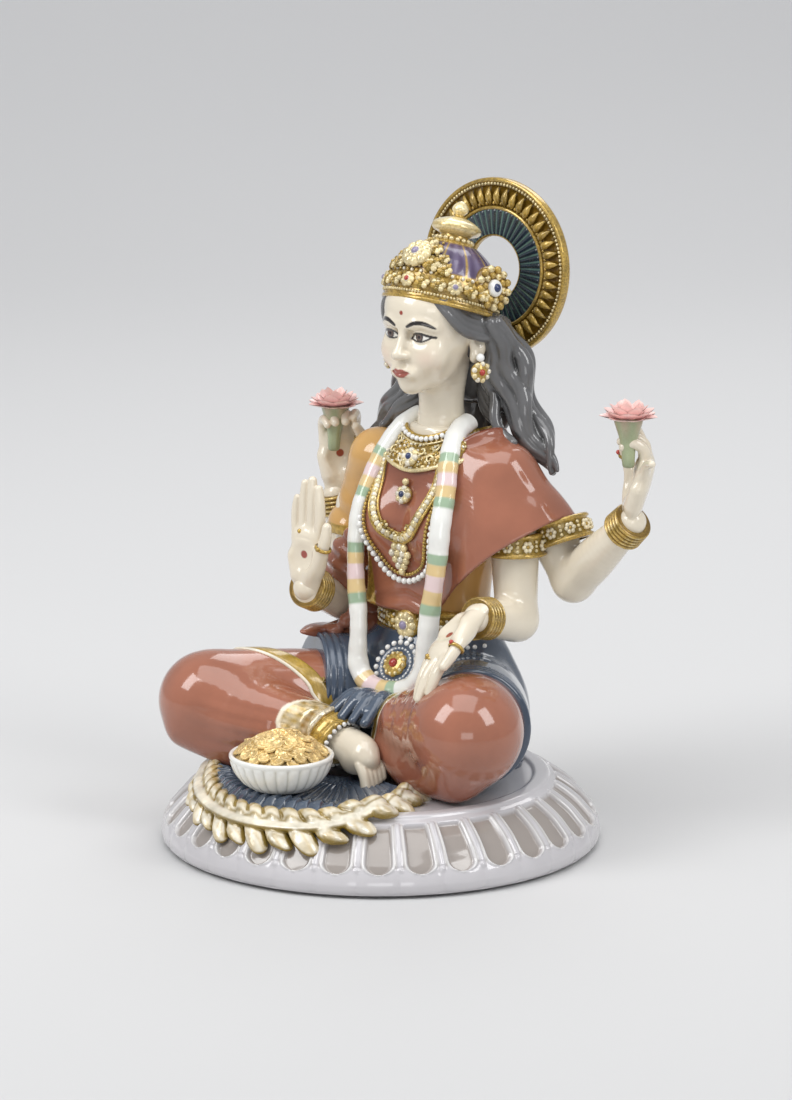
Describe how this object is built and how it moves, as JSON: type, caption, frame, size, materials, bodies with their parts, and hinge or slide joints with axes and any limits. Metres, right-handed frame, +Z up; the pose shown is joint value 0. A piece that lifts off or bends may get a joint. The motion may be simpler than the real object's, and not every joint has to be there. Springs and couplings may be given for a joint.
{
  "type": "hindu deity statue",
  "caption": "Glazed porcelain figurine of a four-armed goddess seated cross-legged on a round fluted plinth, with halo, lotus flowers, garland and an offering bowl of coins.",
  "frame": {"origin": "centre of the plinth's flat underside, on the surface it stands on", "axes": "+Z up, the figure faces -Y, its left hand is on the +X side"},
  "size_m": [0.1946, 0.17, 0.248],
  "materials": {
    "plinth_glaze": "glossy pale lilac-grey glaze, warm grey in the flutes",
    "skin_glaze": "glossy ivory glaze",
    "sari_glaze": "glossy terracotta glaze",
    "blouse_glaze": "glossy peach glaze",
    "skirt_glaze": "glossy slate-blue glaze",
    "hair_glaze": "glossy dark grey glaze",
    "ornament_gold": "glossy glaze with mottled old gold over cream",
    "bright_gold": "glossy fired gold lustre",
    "halo_blue": "glossy dark teal-blue glaze",
    "garland_white": "glossy white glaze with green, ochre and pink bands",
    "pearl_white": "glossy pearl-white glaze",
    "ruffle_cream": "glossy cream glaze edged with ochre gold",
    "bowl_white": "glossy white glaze",
    "petal_pink": "satin pink handmade petals",
    "stem_green": "glossy pale green glaze"
  },
  "bodies": {
    "root": {"plinth": "plinth_glaze", "train_fan": "skirt_glaze", "train_ruffle": "ruffle_cream", "offering_bowl": "bowl_white", "coin_heap": "bright_gold", "hip_wrap": "skirt_glaze", "right_leg": "sari_glaze", "left_leg": "sari_glaze", "right_foot": "skin_glaze", "anklet": "ornament_gold", "front_pleats": "skirt_glaze", "head": "skin_glaze", "torso": "blouse_glaze", "hair": "hair_glaze", "front_left_arm": "skin_glaze", "front_right_arm": "skin_glaze", "back_left_arm": "skin_glaze", "back_right_arm": "skin_glaze", "front_left_hand": "skin_glaze", "front_right_hand": "skin_glaze", "back_left_hand": "skin_glaze", "back_right_hand": "skin_glaze", "sari_shawl": "sari_glaze", "sari_end": "sari_glaze", "sari_border": "ornament_gold", "belt": "ornament_gold", "front_left_bangles": "ornament_gold", "front_right_bangles": "ornament_gold", "back_left_bangles": "ornament_gold", "back_right_bangles": "ornament_gold", "front_left_armlet": "ornament_gold", "back_left_armlet": "ornament_gold", "back_right_armlet": "ornament_gold", "gold_collar": "ornament_gold", "garland": "garland_white", "pearl_choker": "pearl_white", "gold_strand": "ornament_gold", "pearl_strand": "pearl_white", "upper_pendant": "ornament_gold", "middle_pendant": "ornament_gold", "lower_pendant": "ornament_gold", "skirt_medallion": "pearl_white", "crown": "ornament_gold", "crown_finial": "bright_gold", "halo_ring": "bright_gold", "halo_inlay": "halo_blue", "left_earring": "ornament_gold", "right_earring": "ornament_gold", "left_lotus_stem": "stem_green", "right_lotus_stem": "stem_green", "left_lotus": "petal_pink", "right_lotus": "petal_pink"}
  },
  "joints": []
}
